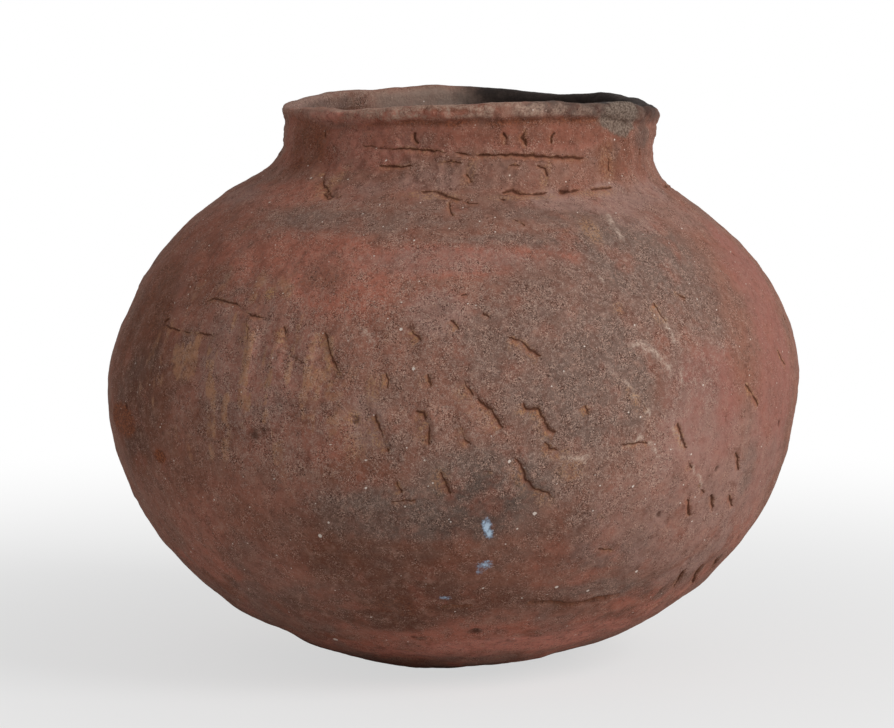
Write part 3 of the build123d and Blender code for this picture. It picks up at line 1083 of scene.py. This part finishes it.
def build_mesh(name, points, net, values, sharp):
    """One closed mesh in metres, with the masks on its points."""
    mesh = bpy.data.meshes.new(name)
    corners = np.concatenate(net.corners)
    sizes = np.concatenate(net.sizes)
    mesh.vertices.add(len(points))
    mesh.vertices.foreach_set("co", (points * METRE).astype(np.float32).ravel())
    mesh.loops.add(len(corners))
    mesh.loops.foreach_set("vertex_index", corners.astype(np.int32))
    mesh.polygons.add(len(sizes))
    starts = np.concatenate([[0], np.cumsum(sizes)[:-1]])
    mesh.polygons.foreach_set("loop_start", starts.astype(np.int32))
    mesh.update(calc_edges=True)
    mesh.validate()
    mesh.shade_smooth()
    layer = mesh.uv_layers.new(name="OFBake")
    layer.uv.foreach_set("vector", np.concatenate(net.maps).astype(np.float32).ravel())
    for mask, amounts in values.items():
        mesh.attributes.new(mask, "FLOAT", "POINT").data.foreach_set("value", amounts.astype(np.float32))
    ends = np.empty(len(mesh.edges) * 2, np.int32)
    mesh.edges.foreach_get("vertices", ends)
    crisp = sharp[ends.reshape(-1, 2)]
    same_line = (crisp[:, 0] >= 0) & (crisp[:, 0] == crisp[:, 1])
    mesh.attributes.new("sharp_edge", "BOOLEAN", "EDGE").data.foreach_set("value", same_line)
    return mesh


def ring_piece(name):
    """The mesh of a piece that is a ring."""
    rows = np.concatenate([np.arange(first, last + 1) for first, last in skin.spans[name]])
    points = shaped[rows].reshape(-1, 3)
    values = {mask: amounts[rows].reshape(-1) for mask, amounts in masks.items()}
    sharp = np.full(len(points), -1)
    for number in sharp_rows_of(skin.spans[name]):
        sharp[number * columns : (number + 1) * columns] = number
    return build_mesh(name, points, ring_net(rows), values, sharp)


def bowl_piece(name):
    """The mesh of the base bowl, whose two faces close at the poles."""
    (outer_first, outer_last), (inner_first, inner_last) = skin.spans[name]
    rows = np.concatenate([np.arange(outer_first, outer_last + 1), np.arange(inner_first, inner_last + 1)])
    edge = outer_last - outer_first
    strides = []
    for number, row in enumerate(rows):
        stride = 1
        while 2 * math.pi * radius[row] / columns * stride < least_width and columns % (2 * stride) == 0:
            stride *= 2
        joint = number in (edge, edge + 1)
        strides.append(1 if joint else max(stride, 2))
    points, values, lists = [], {mask: [] for mask in masks}, []
    start = 0
    for row, stride in zip(rows, strides):
        pole = radius[row] == 0
        picked = np.arange(0, columns, columns if pole else stride)
        points.append(shaped[row, picked])
        for mask, amounts in masks.items():
            values[mask].append(amounts[row, picked])
        lists.append(np.arange(start, start + len(picked)))
        start += len(picked)
    points = np.concatenate(points)
    away = np.concatenate([[0.0], np.cumsum(np.hypot(np.diff(radius[rows]), np.diff(height[rows])))])
    net = Net()
    largest = max(away[edge + 1], away[-1] - away[edge + 1])

    def on_map(number, which, inside_disc):
        """Where corners of one row lie on a disc of the map: one disc outside, one inside."""
        reach = (away[-1] - away[number] if inside_disc else away[number]) / largest
        count = len(lists[number])
        turn = 2 * math.pi * which / count
        centre = 0.75 if inside_disc else 0.25
        half = 0.25 - map_margin
        return np.stack([centre + half * reach * np.cos(turn), 0.5 + 2 * half * reach * np.sin(turn)], -1)

    for number in range(len(rows) - 1):
        lower, upper = lists[number], lists[number + 1]
        inside_disc = number > edge
        upward = len(lower) <= len(upper)
        few, many = (lower, upper) if upward else (upper, lower)
        few_row, many_row = (number, number + 1) if upward else (number + 1, number)
        if len(few) == 1:  # at a pole: a fan of triangles
            which = np.arange(len(many))
            near = [(few, few_row, 0 * which)]
            far = [(many, many_row, which + 1), (many, many_row, which)]
        else:
            ratio = len(many) // len(few)
            which = np.arange(len(few))
            near = [(few, few_row, which), (few, few_row, which + 1)]
            far = [(many, many_row, which * ratio + step) for step in range(ratio, -1, -1)]
        chain = near + far if upward else (near + far)[::-1]
        corners = [line[raw % len(line)] for line, _, raw in chain]
        maps = [on_map(line_row, raw, inside_disc) for _, line_row, raw in chain]
        net.add(np.stack(corners, -1), np.stack(maps, 1))
    sharp = np.full(len(points), -1)
    for number in (edge, edge + 1):
        sharp[lists[number]] = number
    flat_values = {mask: np.concatenate(parts) for mask, parts in values.items()}
    return build_mesh(name, points, net, flat_values, sharp)


# Material
def linear(red, green, blue):
    """A colour given as 0 to 255 screen values, in the renderer's linear values."""
    shares = [value / 255 for value in (red, green, blue)]
    return (*(s / 12.92 if s <= 0.04045 else ((s + 0.055) / 1.055) ** 2.4 for s in shares), 1.0)


class Graph:
    """A short way to write a material's nodes."""

    def __init__(self, material):
        material.use_nodes = True
        self.tree = material.node_tree
        self.tree.nodes.clear()

    def node(self, kind, settings=None, **inputs):
        """Add a node; an input is a value or another node's output, and i0 is its first socket."""
        made = self.tree.nodes.new(kind)
        for key, value in (settings or {}).items():
            setattr(made, key, value)
        for key, value in inputs.items():
            numbered = key[0] == "i" and key[1:].isdigit()
            socket = made.inputs[int(key[1:]) if numbered else key.replace("_", " ")]
            if isinstance(value, bpy.types.NodeSocket):
                self.tree.links.new(value, socket)
            else:
                socket.default_value = value
        return made

    def mask(self, name):
        """A mask that is kept on the mesh."""
        return self.node("ShaderNodeAttribute", {"attribute_name": name}).outputs["Fac"]

    def noise(self, where, size_mm, detail=2.0, roughness=0.55):
        """Noise whose spots are about this size."""
        scale = 1 / (size_mm * METRE)
        made = self.node("ShaderNodeTexNoise", Vector=where, Scale=scale, Detail=detail, Roughness=roughness)
        return made.outputs["Fac"]

    def ramp(self, value, low, high, to_low=0.0, to_high=1.0):
        """A value mapped smoothly from one range to another."""
        made = self.node(
            "ShaderNodeMapRange",
            {"interpolation_type": "SMOOTHSTEP"},
            Value=value, From_Min=low, From_Max=high, To_Min=to_low, To_Max=to_high,
        )
        return made.outputs["Result"]

    def maths(self, operation, first, second=0.0):
        """One sum on two values."""
        return self.node("ShaderNodeMath", {"operation": operation}, i0=first, i1=second).outputs[0]

    def times(self, first, second):
        """Two values multiplied."""
        return self.maths("MULTIPLY", first, second)

    def plus(self, first, second):
        """Two values added."""
        return self.maths("ADD", first, second)

    def centred(self, value, reach):
        """A value that runs from 0 to 1, moved to run evenly to either side of 0."""
        return self.times(self.maths("SUBTRACT", value, 0.5), reach)

    def blend(self, amount, under, over):
        """Colour over colour, by an amount."""
        settings = {"data_type": "RGBA", "clamp_factor": True}
        made = self.node("ShaderNodeMix", settings, i0=amount, i6=under, i7=over)
        return made.outputs[2]

    def grains(self, where, size_mm, radius_share, keep):
        """Round grains in some of the cells of a random net."""
        cells = self.node("ShaderNodeTexVoronoi", Vector=where, Scale=1 / (size_mm * METRE))
        spot = self.ramp(cells.outputs["Distance"], radius_share, radius_share * 0.45)
        tone = self.node("ShaderNodeSeparateColor", Color=cells.outputs["Color"])
        chosen = self.ramp(tone.outputs[0], 1 - keep, 1 - keep + 0.02)
        return self.times(spot, chosen)


def earthenware():
    """Unglazed red-brown clay: smoke-clouded, gritty, dusty in its gouges, with painted shade in its clefts,
    pits, groove and hollows and painted light on some faces.
    """
    material = bpy.data.materials.new("fired_clay_worn_painted_shade")
    graph = Graph(material)
    where = graph.node("ShaderNodeTexCoord").outputs["Object"]

    def moved(shift):
        """Places moved by a shift, which gives noise there another pattern."""
        return graph.node("ShaderNodeVectorMath", {"operation": "ADD"}, i0=where, i1=shift).outputs[0]

    elsewhere = moved((0.37, 0.11, 0.53))
    further = moved((0.83, 0.29, 0.17))
    drift = graph.noise(where, 34, 4.0, 0.6)
    patch = graph.noise(where, 9, 4.0, 0.6)
    mottle = graph.noise(where, 2.6, 3.0, 0.6)
    grit = graph.noise(where, 0.9, 2.0, 0.65)
    curl = graph.noise(elsewhere, 0.85, 1.5, 0.5)
    gate = graph.noise(elsewhere, 2.2, 3.0, 0.65)
    blotch = graph.noise(elsewhere, 5.0, 3.0, 0.6)
    tinge = graph.noise(further, 15, 4.0, 0.6)
    busy = graph.ramp(graph.noise(further, 5.5, 3.0, 0.6), 0.4, 0.64, 0.3, 1.5)
    dot = graph.noise(further, 0.46, 1.0, 0.6)
    crumbs = graph.plus(graph.times(grit, 0.6), graph.times(curl, 0.4))

    # Clefts: the painted dark line and the painted shade beside it, and the warm, lighter floor of the scoop
    # on one side
    tatter = graph.plus(graph.centred(patch, 0.8), graph.centred(mottle, 0.45))
    ragged = graph.plus(graph.centred(mottle, 1.0), graph.centred(grit, 0.8))
    offset = graph.plus(graph.mask("gap"), ragged)
    depth = graph.mask("cleft")
    spread = graph.maths("DIVIDE", graph.maths("ABSOLUTE", offset), graph.maths("MAXIMUM", depth, 0.1))
    cleft = graph.times(graph.ramp(spread, 0.85, 0.08), graph.ramp(depth, 0.05, 0.5))
    shade = graph.times(graph.ramp(spread, 1.5, 0.3), graph.ramp(depth, 0.05, 0.5))
    scoop = graph.times(graph.ramp(offset, -3.6, -0.6), graph.ramp(offset, 0.7, 0.0))
    scoop = graph.times(scoop, graph.ramp(depth, 0.15, 0.7))
    scoop = graph.times(scoop, graph.ramp(mottle, 0.36, 0.6, 0.25, 1.0))
    thread = graph.ramp(graph.maths("ABSOLUTE", graph.centred(curl, 1.0)), 0.08, 0.01)
    thread = graph.times(thread, graph.ramp(gate, 0.42, 0.62))

    # The clay's own colour, what the fire did to it, and painted shade and light: mask, where its torn edge
    # starts and ends, colour
    fire_colours_and_painted_light = [
        ("flush", 0.02, 1.0, (182, 111, 91)),
        ("slip", 0.1, 1.1, (166, 108, 96)),
        ("brown", 0.02, 1.0, (128, 77, 57)),
        ("cloud", 0.02, 1.0, (122, 100, 90)),
        ("gloom", 0.02, 1.0, (100, 61, 45)),
        ("smoke", 0.02, 1.0, (90, 76, 69)),
        ("pale", 0.02, 1.0, (168, 130, 118)),
        ("foot", 0.02, 1.0, (204, 132, 114)),
    ]
    colour = graph.blend(graph.ramp(drift, 0.35, 0.65), linear(149, 101, 84), linear(156, 108, 91))
    for name, low, high, tone in fire_colours_and_painted_light:
        torn = graph.ramp(graph.plus(graph.mask(name), tatter), low, high)
        colour = graph.blend(torn, colour, linear(*tone))
    lining = graph.mask("lining")
    streak = graph.plus(graph.mask("tan"), graph.centred(mottle, 0.5))
    colour = graph.blend(graph.ramp(streak, 0.15, 0.9, 0.0, 0.85), colour, linear(190, 138, 104))
    colour = graph.blend(graph.times(lining, 0.95), colour, linear(158, 138, 126))

    # Mottling and grit: the noise, the range over which a colour comes in, the most of it, the colour
    slick = graph.ramp(graph.mask("slip"), 0.1, 1.0, 1.0, 0.6)
    rough = graph.times(slick, graph.ramp(lining, 0.1, 1.0, 1.0, 0.3))
    bloom = graph.plus(graph.mask("bloom"), graph.centred(patch, 2.0))
    bloom = graph.ramp(bloom, 0.15, 1.05, 0.04, 0.5)
    grainy = graph.times(graph.times(rough, busy), graph.ramp(bloom, 0.05, 0.45, 0.95, 1.35))
    mottling = [
        (tinge, 0.5, 0.7, 0.5, (164, 98, 78)),
        (tinge, 0.5, 0.3, 0.36, (112, 92, 82)),
        (blotch, 0.5, 0.28, 0.5, (112, 68, 54)),
        (blotch, 0.52, 0.75, 0.4, (182, 140, 122)),
        (mottle, 0.5, 0.76, 0.3, (188, 142, 122)),
        (mottle, 0.48, 0.26, 0.45, (98, 62, 50)),
    ]
    gritting = [
        (curl, 0.6, 0.75, 0.4, (84, 56, 46)),
        (grit, 0.54, 0.78, 0.5, (206, 166, 146)),
        (grit, 0.47, 0.24, 0.6, (74, 46, 37)),
        (dot, 0.54, 0.74, 0.58, (206, 170, 152)),
        (dot, 0.46, 0.28, 0.55, (66, 42, 34)),
    ]

    def overlaid(under, layers, strength):
        """Layers of colour over another colour, by a strength that is less on slick clay."""
        for value, low, high, most, tone in layers:
            share = graph.times(graph.ramp(value, low, high, 0.0, most), strength)
            under = graph.blend(share, under, linear(*tone))
        return under

    colour = overlaid(colour, mottling, rough)
    haze = graph.times(bloom, graph.ramp(gate, 0.35, 0.7, 0.0, 0.26))
    colour = graph.blend(haze, colour, linear(176, 146, 132))
    colour = graph.blend(graph.times(thread, bloom), colour, linear(216, 186, 170))
    colour = overlaid(colour, gritting, grainy)

    # Wear, dust, rust, grains and flecks; painted shade in pits, in the groove under the lip and in and
    # beside clefts; and the warm floor of the gouges' scoops
    dust = graph.times(graph.mask("dust"), graph.ramp(crumbs, 0.46, 0.56, 0.08, 1.0))
    rust = graph.ramp(graph.plus(graph.mask("rust"), tatter), 0.25, 1.0, 0.0, 0.85)
    rust_and_shade_tone = graph.blend(graph.ramp(crumbs, 0.42, 0.58), linear(92, 50, 34), linear(154, 86, 52))
    flecked = graph.plus(graph.mask("chalk"), graph.centred(grit, 0.4))
    worn = [
        (graph.times(graph.mask("wear"), graph.ramp(grit, 0.42, 0.6, 0.3, 0.85)), linear(184, 154, 136)),
        (graph.times(graph.mask("scrape"), graph.ramp(curl, 0.42, 0.56, 0.35, 0.95)), linear(212, 186, 169)),
        (dust, linear(194, 146, 106)),
        (rust, rust_and_shade_tone),
        (graph.times(graph.grains(where, 1.5, 0.22, 0.12), 0.65), linear(214, 186, 170)),
        (graph.grains(where, 6.0, 0.075, 0.45), linear(238, 222, 210)),
        (graph.times(graph.grains(elsewhere, 3.2, 0.12, 0.3), 0.85), linear(60, 37, 29)),
        (graph.ramp(flecked, 0.45, 0.55), linear(232, 216, 204)),
        # Painted shade in pits and in the groove under the lip
        (graph.ramp(graph.mask("dark"), 0.1, 0.8, 0.0, 0.75), linear(76, 44, 32)),
        # The warm floor of the gouge's scoop, then painted shade beside the cleft and the painted dark line
        # in it
        (graph.times(scoop, 0.5), linear(170, 106, 78)),
        (graph.times(shade, 0.5), linear(120, 70, 48)),
        (graph.times(cleft, 0.72), linear(70, 38, 25)),
    ]

    # Soot, with painted shade inside the pot, crust and paint lie on top
    soot = graph.ramp(graph.plus(graph.mask("soot"), graph.times(tatter, 0.6)), 0.05, 0.95)
    crust = graph.ramp(graph.plus(graph.mask("crust"), graph.times(tatter, 1.7)), 0.3, 0.9, 0.0, 0.9)
    crust_tone = graph.blend(graph.ramp(crumbs, 0.42, 0.58), linear(100, 84, 74), linear(148, 130, 116))
    splash = graph.plus(graph.mask("paint"), graph.times(ragged, 0.8))
    blue = graph.blend(graph.ramp(splash, 0.5, 0.85), linear(156, 184, 212), linear(206, 228, 248))
    on_top = [
        (soot, linear(46, 38, 35)),
        (crust, crust_tone),
        (graph.ramp(splash, 0.3, 0.78, 0.0, 0.95), blue),
    ]
    for share, tone in worn + on_top:
        colour = graph.blend(share, colour, tone)

    relief = graph.plus(graph.times(mottle, 0.8), graph.times(grit, 0.6))
    relief = graph.plus(relief, graph.times(thread, 0.2))
    relief = graph.plus(relief, graph.times(dust, 0.5))
    relief = graph.maths("SUBTRACT", relief, graph.times(cleft, 0.9))
    bump = graph.node("ShaderNodeBump", Strength=0.7, Distance=0.00055, Height=relief)
    shader = graph.node(
        "ShaderNodeBsdfPrincipled",
        Base_Color=colour,
        Roughness=graph.ramp(grit, 0.3, 0.7, 0.98, 0.84),
        Normal=bump.outputs["Normal"],
    )
    shader.inputs["Specular IOR Level"].default_value = 0.22
    graph.node("ShaderNodeOutputMaterial", Surface=shader.outputs[0])
    return material


clay = earthenware()
shaped = place(rise, lift)
shaped[..., 2] = np.maximum(shaped[..., 2], 0)  # the foot is worn flat where it stands
for name in all_pieces:
    mesh = bowl_piece(name) if name == "base_bowl" else ring_piece(name)
    mesh.materials.append(clay)
    piece = bpy.data.objects.new(f"clay_{name}", mesh)
    bpy.context.scene.collection.objects.link(piece)
    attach(piece, "root")
    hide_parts(name)


# Stage, light and camera, in metres and watts
floor_edge = 2.4
floor_level = -0.0002  # just under the foot
floor_fade = (0.16, 0.75)  # distances between which the floor turns plain white
floor_glow = 0.62  # how far it is plain white under the pot already
sky_strength = 0.316
key_place = (1.632, -1.143, 1.27)
key_target = (0, 0, 0.12)
key_size = 1.0
key_power = 24.8


def stage_floor():
    """A pale floor that keeps the shadow near the pot and fades into a white background."""
    mesh = bpy.data.meshes.new("floor")
    sides = [(-1, -1), (1, -1), (1, 1), (-1, 1)]
    corners = [(x * floor_edge, y * floor_edge, floor_level) for x, y in sides]
    mesh.from_pydata(corners, [], [(0, 1, 2, 3)])
    floor = bpy.data.objects.new("floor", mesh)
    bpy.context.scene.collection.objects.link(floor)
    material = bpy.data.materials.new("floor_white")
    graph = Graph(material)
    where = graph.node("ShaderNodeTexCoord").outputs["Object"]
    far = graph.node("ShaderNodeVectorMath", {"operation": "LENGTH"}, i0=where).outputs["Value"]
    seen = graph.node("ShaderNodeLightPath").outputs["Is Camera Ray"]
    pale = graph.blend(seen, (0.88, 0.88, 0.88, 1.0), (0.8, 0.8, 0.8, 1.0))
    diffuse = graph.node("ShaderNodeBsdfDiffuse", Color=pale).outputs[0]
    glow = graph.node("ShaderNodeEmission", Color=(1.0, 1.0, 1.0, 1.0), Strength=1.0).outputs[0]
    share = graph.times(seen, graph.ramp(far, *floor_fade, floor_glow, 1.0))
    mixed = graph.node("ShaderNodeMixShader", i0=share, i1=diffuse, i2=glow).outputs[0]
    graph.node("ShaderNodeOutputMaterial", Surface=mixed)
    mesh.materials.append(material)


def white_world(strength):
    """Soft light from all round, and plain white where the camera sees past the floor."""
    world = bpy.data.worlds.new("studio")
    bpy.context.scene.world = world
    graph = Graph(world)
    path = graph.node("ShaderNodeLightPath")
    seen = graph.maths("MAXIMUM", path.outputs["Is Camera Ray"], path.outputs["Is Glossy Ray"])
    seen = graph.maths("MAXIMUM", seen, path.outputs["Is Transmission Ray"])
    level = graph.plus(graph.times(seen, 1 - strength), strength)
    glow = graph.node("ShaderNodeBackground", Color=(1.0, 1.0, 1.0, 1.0), Strength=level)
    graph.node("ShaderNodeOutputWorld", Surface=glow.outputs[0])


def softbox(name, location, target, size, power):
    """A square area lamp that faces a point."""
    lamp = bpy.data.lights.new(name, "AREA")
    lamp.size = size
    lamp.energy = power
    made = bpy.data.objects.new(name, lamp)
    made.location = location
    made.rotation_euler = (Vector(target) - Vector(location)).to_track_quat("-Z", "Y").to_euler()
    bpy.context.scene.collection.objects.link(made)


def photo_camera():
    """The camera at the photograph's viewing angle."""
    data = bpy.data.cameras.new("camera")
    data.sensor_fit = "HORIZONTAL"
    data.sensor_width = sensor_width
    data.lens = focal_pixels * sensor_width / photo_width
    made = bpy.data.objects.new("camera", data)
    made.location = eye * METRE
    made.rotation_euler = Vector(aim - eye).to_track_quat("-Z", "Y").to_euler()
    bpy.context.scene.collection.objects.link(made)
    bpy.context.scene.camera = made


stage_floor()
white_world(sky_strength)
softbox("key", key_place, key_target, key_size, key_power)
photo_camera()
bpy.context.scene.view_settings.view_transform = "Standard"
